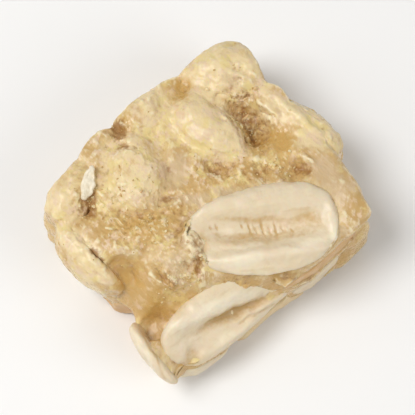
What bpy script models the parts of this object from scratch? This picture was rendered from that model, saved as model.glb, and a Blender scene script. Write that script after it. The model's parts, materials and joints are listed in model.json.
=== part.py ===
"""A cut square of nut brittle: split peanuts bound in cooked sugar, lying flat with its rough face up.

Metres, +Z up. The sides of the square run along X and Y. The origin is under the middle of the piece, on the
surface that it rests on.
"""

import math
import random
from collections import namedtuple

import bmesh
import bpy
from mathutils import Euler, Matrix, Vector, noise

MM = 0.001

# Driving sizes of the cut square.
SUGAR_HEIGHT = 11.0 * MM
EDGE_ROUNDING = 0.8 * MM
SUGAR_GRAIN = 0.9 * MM
SUGAR_FACES_KEPT = 0.36
FACE_UNEVENNESS = 0.45 * MM
FACE_LUMP = 4.5 * MM
WALL_UNEVENNESS = 0.6 * MM
WALL_LUMP = 3.2 * MM

# The knife's outline round the square, seen from above, in millimetres, anticlockwise from the front left corner.
OUTLINE = [
    (-11.4, -11.9), (-7.0, -12.0), (-0.5, -11.6), (5.0, -12.1), (9.0, -11.9), (13.1, -11.4),
    (13.9, -8.0), (14.5, -4.0), (15.2, 0.0), (15.2, 4.0), (14.5, 8.0), (15.5, 12.2), (14.4, 14.5),
    (10.0, 14.4), (6.0, 13.9), (4.6, 14.6), (0.0, 14.3), (-4.0, 13.8), (-8.0, 13.1), (-12.0, 12.4),
    (-13.5, 11.0), (-13.1, 8.0), (-13.8, 4.0), (-13.4, 0.0), (-11.4, -2.6), (-13.2, -5.0), (-13.8, -8.5),
    (-13.2, -10.9),
]

# Where the rough face is broken away: a point on the upper edge of the break, the way it falls, and its steepness.
Break = namedtuple("Break", "x y fall_degrees steepness")
BREAKS = [
    Break(-6.0, -5.6, 238.0, 2.4),
    Break(-9.6, -1.0, 186.0, 1.6),
]
BREAK_FLOOR = 5.4 * MM
# The slope on the left is a short one, between the nut on the rim and the broken corner.
LEFT_BREAK_REACH = 2.4 * MM
LEFT_BREAK_MIDDLE = -1.4 * MM
LEFT_BREAK_BANK = 2.6

# Hollows and swells of the sugar's face: middle, half widths along X and Y, and depth or height, in millimetres.
Swell = namedtuple("Swell", "x y half_x half_y rise")
SWELLS = [
    Swell(10.1, 4.6, 1.6, 3.6, -2.7),
    Swell(10.6, -2.4, 1.3, 1.1, -1.1),
    Swell(-10.6, 8.4, 1.6, 1.4, -0.9),
    Swell(-2.6, 11.2, 0.9, 1.3, -0.8),
    Swell(6.8, 12.9, 1.0, 1.5, -0.9),
    Swell(-5.0, -5.6, 2.2, 1.4, -0.5),
    Swell(12.4, -7.5, 1.8, 3.5, 0.5),
    Swell(-3.4, 7.0, 4.5, 5.5, 0.5),
    Swell(5.8, 7.0, 3.4, 5.5, 0.4),
    Swell(14.8, 14.0, 2.2, 2.2, -2.6),
    Swell(-13.4, 11.9, 2.0, 1.8, -2.0),
]

# A split peanut, its flat face's middle at x, y, z. Roll turns it about its length: 0 has the flat face up and
# 180 the round back up.
Nut = namedtuple("Nut", "name x y z heading roll pitch length width depth finish")
FACE_NUTS = [
    Nut("nut_open_face", 2.8, -5.9, 11.25, -29, 5, 1, 17.6, 10.2, 4.4, "pale"),
    Nut("nut_broken_corner", -5.5, -10.1, 6.4, -5, 40, 1, 16.2, 9.0, 4.2, "pale"),
    Nut("nut_corner_edge", -13.5, -7.9, 5.1, 87, 72, -10, 8.6, 6.8, 1.6, "pale"),
    Nut("nut_left_rim", -12.3, 4.3, 7.4, 93, 76, -2, 9.8, 7.8, 2.9, "pale"),
    Nut("nut_back_middle", 5.8, 6.9, 7.7, 97, 180, 0, 12.0, 7.4, 4.5, "pale"),
    Nut("nut_centre", -3.7, 7.6, 7.6, 62, 180, 1, 13.2, 8.8, 4.4, "golden"),
    Nut("nut_left_middle", -5.6, -1.6, 7.3, -30, 180, 0, 9.8, 6.2, 4.1, "golden"),
    Nut("nut_back_right", 12.1, 11.2, 7.4, -35, 180, 2, 11.8, 8.2, 4.5, "pale"),
    Nut("nut_right_bulge", 14.2, 1.3, 6.3, -79, 176, 0, 11.8, 6.2, 4.5, "pale"),
    Nut("nut_back_left", -10.4, 10.6, 7.5, 24, 184, 0, 10.2, 6.2, 4.1, "pale"),
    Nut("nut_back_edge", 0.7, 13.0, 8.2, 10, 186, 0, 8.6, 5.4, 3.6, "pale"),
]
UNCUT_NUTS = ("nut_open_face", "nut_corner_edge", "nut_left_rim", "nut_right_bulge")

# The nuts under the face lie in rings just inside the outline, where the knife cuts them flush, and in a
# small ring round the middle of the underside.
Course = namedtuple("Course", "name count ring_x ring_y low high start_degrees spread finishes")
COURSES = [
    Course("lower", 10, 12.2, 11.2, 0.0, 0.5, -62.0, 36.0, ("pale", "golden", "pale", "roasted")),
    Course("middle", 8, 12.6, 11.6, 4.4, 5.0, -62.0, 36.0, ("roasted", "pale", "golden")),
    Course("inner", 3, 4.0, 3.4, 0.0, 0.2, 20.0, 25.0, ("golden", "pale", "pale")),
]
COURSE_MIDDLE = (0.6, 1.2)
COURSE_LENGTH = (11.5, 14.0)
COURSE_WIDTH = (7.2, 8.6)
COURSE_DEPTH = (3.6, 4.2)
COURSE_SEED = 11
# The seed of the noise in the cut walls. Without one the noise would be drawn by the clock.
NOISE_SEED = 1795885754
SMALLEST_NUT = 34.0 * MM**3
SUGAR_OVER_NUT = 0.9

# Shape of one split peanut, and of the plainer pocket that it lies in.
NUT_SEGMENTS = 12
NUT_RINGS = 8
POCKET_SEGMENTS = 10
POCKET_RINGS = 7
POCKET_GAP = 0.45 * MM
NUT_TAPER = 0.12
NUT_BEND = 0.05
NUT_FULLNESS = 0.13
RIM_HEIGHT = 0.16
TROUGH_DEPTH = 0.28
TROUGH_HALF_WIDTH = 0.34

FINISHES = {
    "sugar": ((0.60, 0.42, 0.22, 1.0), 0.32),
    "pale": ((0.79, 0.65, 0.41, 1.0), 0.48),
    "golden": ((0.72, 0.52, 0.25, 1.0), 0.44),
    "roasted": ((0.58, 0.33, 0.12, 1.0), 0.46),
}


def clear_scene():
    """Removes what the startup scene holds."""
    for obj in list(bpy.data.objects):
        bpy.data.objects.remove(obj, do_unlink=True)


def new_collection(name):
    collection = bpy.data.collections.new(name)
    bpy.context.scene.collection.children.link(collection)
    return collection


def food_material(name):
    """A Principled material of one of the finishes."""
    colour, roughness = FINISHES[name]
    material = bpy.data.materials.new(name)
    material.use_nodes = True
    shader = material.node_tree.nodes["Principled BSDF"]
    shader.inputs["Base Color"].default_value = colour
    shader.inputs["Roughness"].default_value = roughness
    shader.inputs["Metallic"].default_value = 0.0
    return material


def as_mesh(obj, name, collection):
    """A mesh object of what obj evaluates to. obj is removed."""
    graph = bpy.context.evaluated_depsgraph_get()
    mesh = bpy.data.meshes.new_from_object(obj.evaluated_get(graph))
    made = bpy.data.objects.new(name, mesh)
    made.matrix_world = obj.matrix_world
    collection.objects.link(made)
    bpy.data.objects.remove(obj, do_unlink=True)
    return made


def weld(mesh, distance):
    """Joins the vertices of a mesh that lie within distance of each other."""
    body = bmesh.new()
    body.from_mesh(mesh)
    bmesh.ops.remove_doubles(body, verts=body.verts, dist=distance)
    body.to_mesh(mesh)
    body.free()


def add_boolean(obj, operation, other):
    """Cuts obj with another object. EXACT leaves open edges among so many curved pockets, MANIFOLD none."""
    modifier = obj.modifiers.new(operation.title(), "BOOLEAN")
    modifier.operation = operation
    modifier.solver = "MANIFOLD"
    modifier.object = other


def knife_prism(name, low, high, rounding, collection):
    """The outline as an upright block from low to high, its corners rounded a little."""
    curve = bpy.data.curves.new(name, "CURVE")
    curve.dimensions = "2D"
    curve.fill_mode = "BOTH"
    curve.extrude = (high - low) / 2 - rounding
    curve.bevel_depth = rounding
    curve.bevel_resolution = 1
    spline = curve.splines.new("POLY")
    spline.points.add(len(OUTLINE) - 1)
    for point, (x, y) in zip(spline.points, OUTLINE):
        point.co = (x * MM, y * MM, 0.0, 1.0)
    spline.use_cyclic_u = True
    block = bpy.data.objects.new(name + "_curve", curve)
    block.location.z = (low + high) / 2
    collection.objects.link(block)
    bpy.context.view_layer.update()
    made = as_mesh(block, name, collection)
    made.data.transform(made.matrix_world)
    made.matrix_world = Matrix.Identity(4)
    weld(made.data, 0.01 * MM)
    return made


def break_height(x, y, rough_break):
    """Height of the slope that a break leaves at x, y."""
    fall = math.radians(rough_break.fall_degrees)
    along = (x - rough_break.x * MM) * math.cos(fall) + (y - rough_break.y * MM) * math.sin(fall)
    return max(BREAK_FLOOR, SUGAR_HEIGHT - along * rough_break.steepness)


def face_height(x, y):
    """Height of the sugar's rough face at x, y."""
    height = SUGAR_HEIGHT
    for swell in SWELLS:
        dx = (x / MM - swell.x) / swell.half_x
        dy = (y / MM - swell.y) / swell.half_y
        height += swell.rise * MM * math.exp(-(dx * dx + dy * dy))
    height += FACE_UNEVENNESS * noise.noise(Vector((x, y, 0.0)) / FACE_LUMP)
    corner, left = BREAKS
    height = min(height, break_height(x, y, corner))
    bank = max(0.0, abs(y - LEFT_BREAK_MIDDLE) - LEFT_BREAK_REACH) * LEFT_BREAK_BANK
    return min(height, break_height(x, y, left) + bank)


def sculpt_sugar(mesh):
    """Gives the plain block its rough face and its lumpy cut walls. The underside stays flat."""
    for vertex in mesh.vertices:
        x, y, z = vertex.co
        level = z / SUGAR_HEIGHT
        wall = WALL_UNEVENNESS * level * (1.2 - level)
        push = noise.noise_vector(vertex.co / WALL_LUMP) * wall
        vertex.co.x += push.x
        vertex.co.y += push.y
        vertex.co.z = max(0.0, level) * face_height(x, y)
        if vertex.co.z < 0.25 * MM:
            vertex.co.z = 0.0


def placed_mesh(name, body, nut, collection):
    """An object of a shape made about the origin, turned and moved to where the nut lies."""
    mesh = bpy.data.meshes.new(name)
    body.to_mesh(mesh)
    body.free()
    turn = Euler((math.radians(nut.roll), math.radians(nut.pitch), 0.0)).to_matrix().to_4x4()
    place = Matrix.Translation(Vector((nut.x, nut.y, nut.z)) * MM)
    mesh.transform(place @ Matrix.Rotation(math.radians(nut.heading), 4, "Z") @ turn)
    obj = bpy.data.objects.new(name, mesh)
    collection.objects.link(obj)
    return obj


def peanut_half(name, nut, collection, segments, rings, grow=0.0):
    """One split peanut: a long dome with a flat face, a raised rim and a shallow trough along the middle.

    With grow it is the pocket round the nut, that much larger all round and with no trough.
    """
    body = bmesh.new()
    ends_along_x = Matrix.Rotation(math.radians(90), 4, "Y")
    bmesh.ops.create_uvsphere(body, u_segments=segments, v_segments=rings, radius=1.0, matrix=ends_along_x)
    for vertex in body.verts:
        x, y, z = vertex.co
        blunt = 1.0 + NUT_TAPER * x
        fullness = (1.0 - min(0.95, x * x)) ** -NUT_FULLNESS
        half_width = nut.width * MM / 2 * blunt * fullness + grow
        depth = nut.depth * MM * blunt * fullness
        across = y * half_width + NUT_BEND * nut.length * MM / 2 * x * x
        if z < 0.0:
            height = z * (depth + grow)
        elif grow:
            height = z * (RIM_HEIGHT * depth + grow)
        else:
            trough = math.exp(-((y / TROUGH_HALF_WIDTH) ** 2)) * max(0.0, 1.0 - x * x * 1.3)
            height = (z * RIM_HEIGHT - TROUGH_DEPTH * trough * min(1.0, z * 2.0)) * depth
        vertex.co = (x * (nut.length * MM / 2 + grow), across, height)
    return placed_mesh(name, body, nut, collection)


def course_nuts(course, rng):
    """A ring of nuts laid flat, every second one back down, each turned and tipped a little at random."""
    nuts = []
    for k in range(course.count):
        angle = math.radians(course.start_degrees + 360.0 * k / course.count)
        squareness = 1.0 / max(abs(math.cos(angle)), abs(math.sin(angle))) ** 0.75
        back_down = k % 2 == 0
        depth = rng.uniform(*COURSE_DEPTH)
        nuts.append(
            Nut(
                name=f"nut_{course.name}_{k + 1:02d}",
                x=course.ring_x * squareness * math.cos(angle) + COURSE_MIDDLE[0],
                y=course.ring_y * squareness * math.sin(angle) + COURSE_MIDDLE[1],
                z=rng.uniform(course.low, course.high) + (depth * 0.95 if back_down else 0.0),
                heading=math.degrees(angle) + 90.0 + rng.uniform(-course.spread, course.spread),
                roll=rng.uniform(-8.0, 8.0) + (0.0 if back_down else 180.0),
                pitch=rng.uniform(-4.0, 4.0),
                length=rng.uniform(*COURSE_LENGTH),
                width=rng.uniform(*COURSE_WIDTH),
                depth=depth,
                finish=course.finishes[k % len(course.finishes)],
            )
        )
    return nuts


def buried(nut):
    """True if the sugar's face passes over the nut's middle, so that it shows on a cut side or underneath."""
    back_up = 90.0 < nut.roll
    top = nut.z + (nut.depth if back_up else 0.0) + SUGAR_OVER_NUT
    return face_height(nut.x * MM, nut.y * MM) > top * MM


def all_nuts():
    """The nuts of the face first, as those under it give way to them."""
    rng = random.Random(COURSE_SEED)
    nuts = list(FACE_NUTS)
    for course in COURSES:
        nuts.extend(nut for nut in course_nuts(course, rng) if buried(nut))
    return nuts


def boxes_meet(a, b):
    """True if two objects' boxes overlap, so that a trim is worth its faces."""
    for axis in range(3):
        low_a = min(v.co[axis] for v in a.data.vertices)
        high_a = max(v.co[axis] for v in a.data.vertices)
        low_b = min(v.co[axis] for v in b.data.vertices)
        high_b = max(v.co[axis] for v in b.data.vertices)
        if high_a < low_b or high_b < low_a:
            return False
    return True


def largest_body(mesh):
    """Keeps the largest connected body of a mesh, and gives its volume."""
    body = bmesh.new()
    body.from_mesh(mesh)
    bmesh.ops.triangulate(body, faces=body.faces)
    waiting = set(body.faces)
    islands = []
    while waiting:
        island = {waiting.pop()}
        edge_of_island = list(island)
        while edge_of_island:
            face = edge_of_island.pop()
            near = {f for e in face.edges for f in e.link_faces} & waiting
            waiting -= near
            island |= near
            edge_of_island.extend(near)
        islands.append(island)
    islands.sort(key=len)
    if len(islands) > 1:
        scraps = [f for island in islands[:-1] for f in island]
        bmesh.ops.delete(body, geom=scraps, context="FACES")
    volume = body.calc_volume()
    body.to_mesh(mesh)
    body.free()
    return volume


def cut_nuts(parts, cutters, knife, materials):
    """Makes every nut, cut by the knife and kept clear of the nuts laid before it, and the pocket of each."""
    made = []
    pockets = []
    for nut in all_nuts():
        rough = peanut_half(nut.name + "_rough", nut, cutters, NUT_SEGMENTS, NUT_RINGS)
        if nut.name not in UNCUT_NUTS:
            add_boolean(rough, "INTERSECT", knife)
        for pocket in pockets:
            if boxes_meet(rough, pocket):
                add_boolean(rough, "DIFFERENCE", pocket)
        obj = as_mesh(rough, nut.name, parts)
        if len(obj.data.polygons) == 0 or largest_body(obj.data) < SMALLEST_NUT:
            bpy.data.objects.remove(obj, do_unlink=True)
            continue
        obj.data.shade_smooth()
        obj.data.materials.append(materials[nut.finish])
        name = nut.name + "_pocket"
        pockets.append(peanut_half(name, nut, cutters, POCKET_SEGMENTS, POCKET_RINGS, POCKET_GAP))
        made.append(obj)
    return made, pockets


def sugar_block(parts, cutters, pockets, material):
    """The cooked sugar that binds the nuts, with a pocket round each of them."""
    block = knife_prism("sugar_block", 0.0, SUGAR_HEIGHT, EDGE_ROUNDING, cutters)
    remesh = block.modifiers.new("Even faces", "REMESH")
    remesh.mode = "VOXEL"
    remesh.voxel_size = SUGAR_GRAIN
    block = as_mesh(block, "sugar_rough", cutters)
    sculpt_sugar(block.data)
    fewer = block.modifiers.new("Fewer faces", "DECIMATE")
    fewer.ratio = SUGAR_FACES_KEPT
    block = as_mesh(block, "sugar_shape", cutters)
    for pocket in pockets:
        add_boolean(block, "DIFFERENCE", pocket)
    sugar = as_mesh(block, "sugar", parts)
    largest_body(sugar.data)
    sugar.data.shade_smooth()
    sugar.data.set_sharp_from_angle(angle=math.radians(40))
    sugar.data.materials.append(material)
    return sugar


def centre_on_base(objects):
    """Moves the piece so that the origin is under its middle, at its lowest level."""
    corners = [v.co for obj in objects for v in obj.data.vertices]
    low = Vector(min(c[axis] for c in corners) for axis in range(3))
    high = Vector(max(c[axis] for c in corners) for axis in range(3))
    shift = Matrix.Translation((-(low.x + high.x) / 2, -(low.y + high.y) / 2, -low.z))
    for obj in objects:
        obj.data.transform(shift)


def main():
    noise.seed_set(NOISE_SEED)
    clear_scene()
    parts = new_collection("nut_brittle_piece")
    cutters = new_collection("cutters")
    materials = {name: food_material(name) for name in FINISHES}
    knife = knife_prism("knife", 0.0, 2 * SUGAR_HEIGHT, 0.0, cutters)
    nuts, pockets = cut_nuts(parts, cutters, knife, materials)
    sugar = sugar_block(parts, cutters, pockets, materials["sugar"])
    centre_on_base([*nuts, sugar])
    for cutter in cutters.objects:
        cutter.hide_render = True
        cutter.display_type = "WIRE"


main()
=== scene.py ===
"""Looks of a cut square of nut brittle: cooked sugar, split peanuts, sugar grains and nut crumbs.

It is laid out as an add-on and run as a script. Lengths are in metres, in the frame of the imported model.
"""

import json
import math
from collections import namedtuple

import bmesh
import bpy
import numpy as np
from bpy.props import FloatProperty, FloatVectorProperty, IntProperty, PointerProperty
from bpy.types import Operator, Panel, PropertyGroup
from mathutils import Euler, Matrix, Quaternion, Vector, noise
from mathutils.bvhtree import BVHTree

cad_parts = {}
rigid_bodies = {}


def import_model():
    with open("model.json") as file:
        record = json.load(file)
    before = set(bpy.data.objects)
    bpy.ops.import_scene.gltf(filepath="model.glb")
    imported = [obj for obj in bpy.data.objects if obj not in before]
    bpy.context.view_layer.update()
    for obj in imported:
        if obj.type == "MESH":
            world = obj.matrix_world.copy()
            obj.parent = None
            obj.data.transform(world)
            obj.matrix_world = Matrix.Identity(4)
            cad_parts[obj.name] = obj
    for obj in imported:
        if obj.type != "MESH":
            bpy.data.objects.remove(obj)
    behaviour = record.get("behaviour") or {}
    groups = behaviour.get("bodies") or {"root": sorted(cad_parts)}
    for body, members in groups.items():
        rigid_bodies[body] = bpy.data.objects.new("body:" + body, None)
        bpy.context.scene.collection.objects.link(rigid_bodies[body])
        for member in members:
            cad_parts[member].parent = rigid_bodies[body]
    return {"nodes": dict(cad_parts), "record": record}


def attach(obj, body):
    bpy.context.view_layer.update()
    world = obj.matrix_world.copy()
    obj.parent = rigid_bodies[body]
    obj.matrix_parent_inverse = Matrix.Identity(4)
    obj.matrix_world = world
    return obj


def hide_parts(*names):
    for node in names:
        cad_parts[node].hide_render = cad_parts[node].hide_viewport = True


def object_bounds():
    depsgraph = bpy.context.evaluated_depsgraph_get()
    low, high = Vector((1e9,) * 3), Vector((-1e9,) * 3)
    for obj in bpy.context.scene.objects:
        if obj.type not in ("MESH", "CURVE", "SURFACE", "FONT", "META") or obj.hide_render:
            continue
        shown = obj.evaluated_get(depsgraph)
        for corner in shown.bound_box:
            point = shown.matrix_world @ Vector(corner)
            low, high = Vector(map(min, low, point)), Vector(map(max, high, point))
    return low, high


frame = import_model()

bl_info = {
    "name": "Nut brittle piece",
    "version": (1, 0, 0),
    "blender": (4, 5, 0),
    "location": "View3D > Sidebar > Brittle",
    "description": "Dresses a cut square of nut brittle with sugar, split peanuts, grains and crumbs",
    "category": "Object",
}

CAD_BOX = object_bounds()
MM = 0.001
BODY = "root"
# Without a seed of its own, the noise would be drawn by the clock and differ from run to run.
noise.seed_set(2)

# The middle of the cut square, seen from above. What lies on the face is placed from it, in millimetres.
FACE_MIDDLE = Vector((-1.116, -1.187, 0.0)) * MM

# How bare each nut of the face lies, from 0, wholly coated in sugar, to 1. A nut that isn't named lies bare
# where its skin looks sideways or down, and coated where it looks up.
BARE = {
    "nut_open_face": 1.0,
    "nut_broken_corner": 1.0,
    "nut_corner_edge": 0.95,
    "nut_left_rim": 0.34,
    "nut_back_left": 0.28,
    "nut_centre": 0.0,
    "nut_left_middle": 0.0,
    "nut_back_middle": 0.25,
    "nut_back_edge": 0.2,
    "nut_back_right": 0.3,
    "nut_right_bulge": 0.46,
}

# One rise or hollow of a surface: its middle, half length and half width, heading and height. Lengths are in
# millimetres and headings in degrees.
Mark = namedtuple("Mark", "x y half_x half_y heading rise")


def marks(*rows):
    """Marks from rows of their numbers."""
    return [Mark(*row) for row in rows]


FACE_MARKS = marks(
    # The broad lumps of the left half.
    (-4.6, 7.6, 3.4, 2.7, 50, 0.45), (-2.2, 6.4, 1.5, 1.4, 0, 0.25), (-8.3, 2.3, 3.6, 1.3, -45, 0.3),
    (-5.4, 0.6, 2.2, 1.6, 10, 0.25), (-11.6, 11.4, 2.4, 1.2, 50, 0.2),
    # The smooth low patch beside them, and the furrow between the lumps.
    (0.2, 5.0, 2.0, 1.5, 50, -0.45), (-6.3, 3.9, 3.8, 0.5, -40, -0.3), (-2.6, 3.2, 1.4, 0.5, -30, -0.35),
    (-2.6, 10.9, 0.5, 0.9, 50, -0.65), (-1.8, 13.0, 0.8, 0.7, 50, -0.8), (-10.2, 8.1, 1.3, 0.9, 50, -0.5),
    # The crest over the smooth left slope, and the crack at the slope's end.
    (-9.6, 1.1, 3.4, 0.6, -56, 0.26), (-8.8, -3.2, 1.6, 0.4, -85, -0.6), (-12.6, 3.2, 1.9, 0.4, -80, -0.7),
    # The frosty lump beside the open nut, and the deep slot between them.
    (-6.6, -2.4, 1.3, 1.2, 50, 0.35), (-5.0, -4.4, 1.2, 0.4, 50, -0.5), (-3.7, -2.8, 2.4, 1.35, 72, 1.75),
    (0.2, -10.2, 4.6, 0.6, -34, 0.3), (-6.8, -5.4, 1.5, 0.6, -30, -0.35), (-0.9, -8.4, 3.6, 0.5, -30, -0.5),
    # The crumbly band between the open nut and the nut behind it.
    (3.4, 2.8, 1.9, 1.0, -35, -0.65), (7.4, -0.6, 1.5, 0.7, -38, -0.45), (9.9, -2.9, 1.0, 0.7, -38, -0.7),
    (10.9, -2.9, 0.5, 1.1, 20, -0.45), (11.9, -2.6, 0.35, 1.1, 10, 0.3),
    # The pit, its smooth right bank, and the bulge beyond it.
    (9.9, 4.7, 3.7, 1.6, 74, -0.85), (8.0, 5.2, 3.0, 0.6, 74, 0.25), (11.5, 1.2, 1.6, 1.2, 50, -0.35),
    (14.4, 2.0, 3.4, 0.6, -82, 0.35), (12.2, -5.0, 1.6, 1.2, 50, -0.25),
    # The back corner.
    (6.7, 12.4, 1.5, 1.0, 50, -0.5), (11.6, 12.8, 2.6, 1.6, 20, 0.3), (13.0, 9.2, 2.2, 0.4, -70, -0.35),
    (9.6, 9.0, 1.8, 0.6, 10, -0.3), (3.6, 14.0, 2.0, 0.5, 5, 0.3),
    # The curl of sugar round the tip of the nut at the broken corner.
    (-12.3, -11.2, 1.5, 0.5, -12, 0.7),
)

# Where the face has another finish. The last number is its strength, in place of a height. "filled" is sugar
# that fills the valleys between the coated nuts, and "cover" is sugar that has run over the nut at the rim.
PATCHES = {
    # Toasted sugar. The patches along the lower edge of the open nut and in the cracks are painted shadow and
    # shade over it.
    "toasted": marks(
        (10.1, 5.2, 3.8, 1.9, 74, 0.88), (10.8, -3.1, 0.6, 1.2, 20, 1.3), (3.4, 2.9, 2.0, 1.1, -35, 0.68),
        (7.0, -0.4, 2.4, 0.8, -38, 0.75), (-9.7, 8.3, 1.9, 1.1, 40, 1.1), (-7.6, 9.9, 0.5, 1.6, -50, 0.6),
        (-12.6, 3.4, 1.9, 0.5, -80, 1.0), (-4.4, -4.2, 1.8, 0.6, 50, 0.85), (-3.6, -2.8, 2.2, 1.3, 72, 0.55),
        (2.4, -11.6, 2.4, 0.6, -34, 0.7), (-8.3, -3.6, 1.5, 0.6, -85, 0.7), (-1.8, 12.9, 1.4, 1.0, 50, 1.4),
        (-2.6, 10.8, 0.6, 1.0, 50, 0.9), (-0.9, -8.6, 4.0, 0.6, -30, 0.7), (5.2, -13.0, 1.8, 0.7, -30, 1.1),
        (7.1, 12.9, 0.6, 0.9, 50, 0.4), (-2.6, 3.4, 1.6, 0.6, -30, 0.6),
    ),
    "honey": marks(
        (9.2, 2.4, 1.6, 1.2, 60, 1.3), (6.6, 12.6, 2.2, 1.5, 50, 1.2), (11.3, 0.8, 2.1, 1.7, 50, 1.6),
        (9.6, -1.6, 1.8, 1.0, -38, 0.7), (8.4, 1.4, 1.2, 0.9, 50, 0.8), (-11.4, -1.0, 2.6, 3.0, 15, 1.1),
        (-11.4, -5.0, 2.0, 2.8, 0, 1.1), (-6.6, 2.4, 4.6, 2.2, -40, 1.1), (-4.6, 8.4, 1.6, 2.2, 50, 0.5),
        (-2.2, 3.6, 1.8, 1.4, 0, 0.6), (4.4, 1.6, 2.2, 1.2, -38, 0.7), (2.4, 11.4, 1.6, 0.9, 50, 0.5),
        # The last two patches of this line are a painted shadow along the lower edge of the open nut.
        (-0.4, 13.2, 2.4, 1.4, 20, 1.0), (1.0, -9.0, 5.0, 0.8, -30, 0.7), (0.2, -10.2, 5.0, 0.8, -34, 0.9),
    ),
    "frosted": marks(
        (-6.4, -3.2, 1.9, 1.5, 20, 1.0), (-3.7, -2.8, 2.6, 1.6, 72, 1.0), (-7.2, -5.4, 2.2, 0.9, -30, 0.8),
        (-9.6, 0.9, 3.4, 0.6, -56, 0.7), (-11.4, 6.2, 1.0, 2.0, 0, 0.6), (12.3, -6.6, 2.0, 4.2, 0, 1.1),
        (9.6, -11.2, 0.8, 1.6, 20, 0.8), (13.0, 3.6, 1.0, 1.4, 20, 0.6), (11.2, 9.6, 1.6, 0.6, -60, 0.7),
        (0.0, 5.1, 2.3, 1.7, 50, 1.1), (-0.6, 1.6, 3.4, 0.8, -28, 1.0), (3.0, -0.6, 3.0, 0.7, -30, 0.9),
        (-2.4, -0.6, 2.0, 0.9, -50, 0.8), (-0.6, 9.6, 0.9, 1.6, 0, 0.6),
    ),
    "creamy": marks(
        (-13.4, 4.2, 1.0, 3.6, 5, 1.0), (-15.0, 0.8, 0.7, 3.0, 5, 1.0), (11.0, 11.4, 3.2, 2.6, -35, 0.75),
        (13.6, 3.0, 1.5, 4.0, 0, 0.9), (14.4, -0.2, 1.8, 2.2, 0, 1.3), (6.0, 8.0, 2.4, 4.2, 8, 0.9),
        (-4.4, 7.6, 2.8, 2.2, 50, 0.95), (-11.9, 11.0, 2.4, 1.8, 50, 0.3), (1.6, 13.0, 3.2, 1.8, 5, 0.9),
    ),
    "grainy": marks(
        (-6.4, 2.6, 4.4, 2.8, -45, 1.0), (-4.4, 7.4, 3.0, 2.4, 50, 0.5), (4.4, 2.0, 2.8, 1.3, -36, 1.0),
        (8.4, -1.2, 2.6, 1.0, -38, 0.9), (10.1, 4.9, 3.6, 1.3, 74, 1.0), (-6.6, -4.2, 2.6, 1.8, -10, 0.9),
        (-9.4, 8.4, 1.9, 1.4, 50, 0.9), (-2.2, 1.8, 1.6, 1.4, 0, 0.7), (-1.9, 12.6, 1.6, 1.2, 50, 0.6),
    ),
    "smooth": marks(
        (-11.6, -2.4, 2.6, 4.2, 10, 1.0), (12.8, -7.0, 2.2, 4.2, 0, 0.9), (6.0, 8.0, 2.4, 4.2, 8, 0.8),
        (11.6, 11.4, 3.6, 3.0, -35, 0.7), (14.2, 1.6, 1.8, 4.4, 0, 0.7), (0.1, 5.1, 1.9, 1.4, 50, 0.9),
        (-11.6, 11.2, 2.6, 1.8, 50, 1.0), (11.2, 1.0, 1.6, 1.3, 50, 0.6),
    ),
    "filled": marks(
        (1.0, 8.6, 13.0, 5.4, 0, 2.0), (10.5, 1.0, 4.0, 6.0, -20, 2.0), (-6.0, 3.4, 5.0, 3.6, -30, 1.6),
    ),
    "cover": marks(
        (-12.4, 1.4, 1.5, 4.4, 5, 1.3),
    ),
}

# A split peanut that lies open: the middle of its flat face, its heading, roll and pitch, the face's oval, how
# the face is worn, and where it is stained or carries a painted highlight. A stain has a strength in place of
# a
# height. Below 0 it is paler: a painted highlight on the lobes and rims, and a pale spot elsewhere.
OpenNut = namedtuple("OpenNut", "x y z heading roll pitch oval marks stains")
OPEN_NUTS = {
    "nut_open_face": OpenNut(2.8, -5.9, 11.25, -29, 5, 1, Mark(0.1, 0.4, 8.6, 4.7, 0, 0), marks(
        (-0.6, 3.3, 7.8, 1.5, -5, 0.3), (0.4, 0.3, 6.2, 1.3, -9, -0.55), (-0.4, -0.5, 5.4, 0.45, -8, -0.2),
        (-2.6, -1.3, 3.6, 0.5, -9, 0.25), (0.6, -3.0, 6.4, 0.8, -3, 0.7), (-7.8, -1.4, 2.2, 1.1, 79, -0.35),
        (7.9, -0.6, 0.6, 2.4, 4, 0.3),
    ), marks(
        (-0.4, 1.3, 5.2, 0.26, -8, 0.65), (5.6, 0.1, 1.4, 1.3, -9, 0.65), (-2.4, -1.1, 3.8, 0.7, -9, 0.6),
        (0.6, 0.2, 6.2, 1.3, -9, 0.4), (3.6, -1.4, 3.0, 0.3, -4, 0.4), (-7.0, -1.4, 2.4, 0.7, 79, 0.9),
        (-2.8, -3.2, 3.0, 0.9, 0, -0.8), (5.0, -2.5, 2.8, 0.8, 8, -0.9), (7.8, -0.6, 0.7, 2.4, 4, -0.8),
        (-6.4, 2.6, 2.4, 1.0, 20, -0.5), (-3.6, 0.6, 1.0, 0.45, -20, -0.8), (0.6, 0.1, 3.4, 0.5, -9, -0.6),
    )),
    "nut_broken_corner": OpenNut(-5.5, -10.1, 6.4, -5, 40, 1, Mark(0.0, 1.4, 8.4, 4.6, -12, 0), marks(
        (1.8, -0.2, 4.8, 0.6, -9, -0.7), (3.2, -1.6, 3.4, 0.22, -9, -0.2), (-1.4, 2.4, 6.0, 1.1, -12, 0.4),
        (0.4, -2.5, 4.4, 0.7, -2, 0.35), (-5.6, -1.6, 1.6, 0.8, 10, -0.4),
    ), marks(
        (1.8, -0.3, 5.0, 0.55, -9, 1.2), (3.0, -1.6, 3.6, 0.3, -9, 0.8), (0.6, -3.4, 5.0, 1.0, -2, 0.45),
        (-5.2, 4.4, 3.0, 0.8, -35, 0.6), (-5.8, -1.8, 2.0, 1.0, 10, 0.9), (-1.6, 2.2, 5.6, 1.0, -12, -1.2),
        (-0.6, -1.9, 3.4, 0.7, -4, -0.6),
    )),
}
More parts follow.
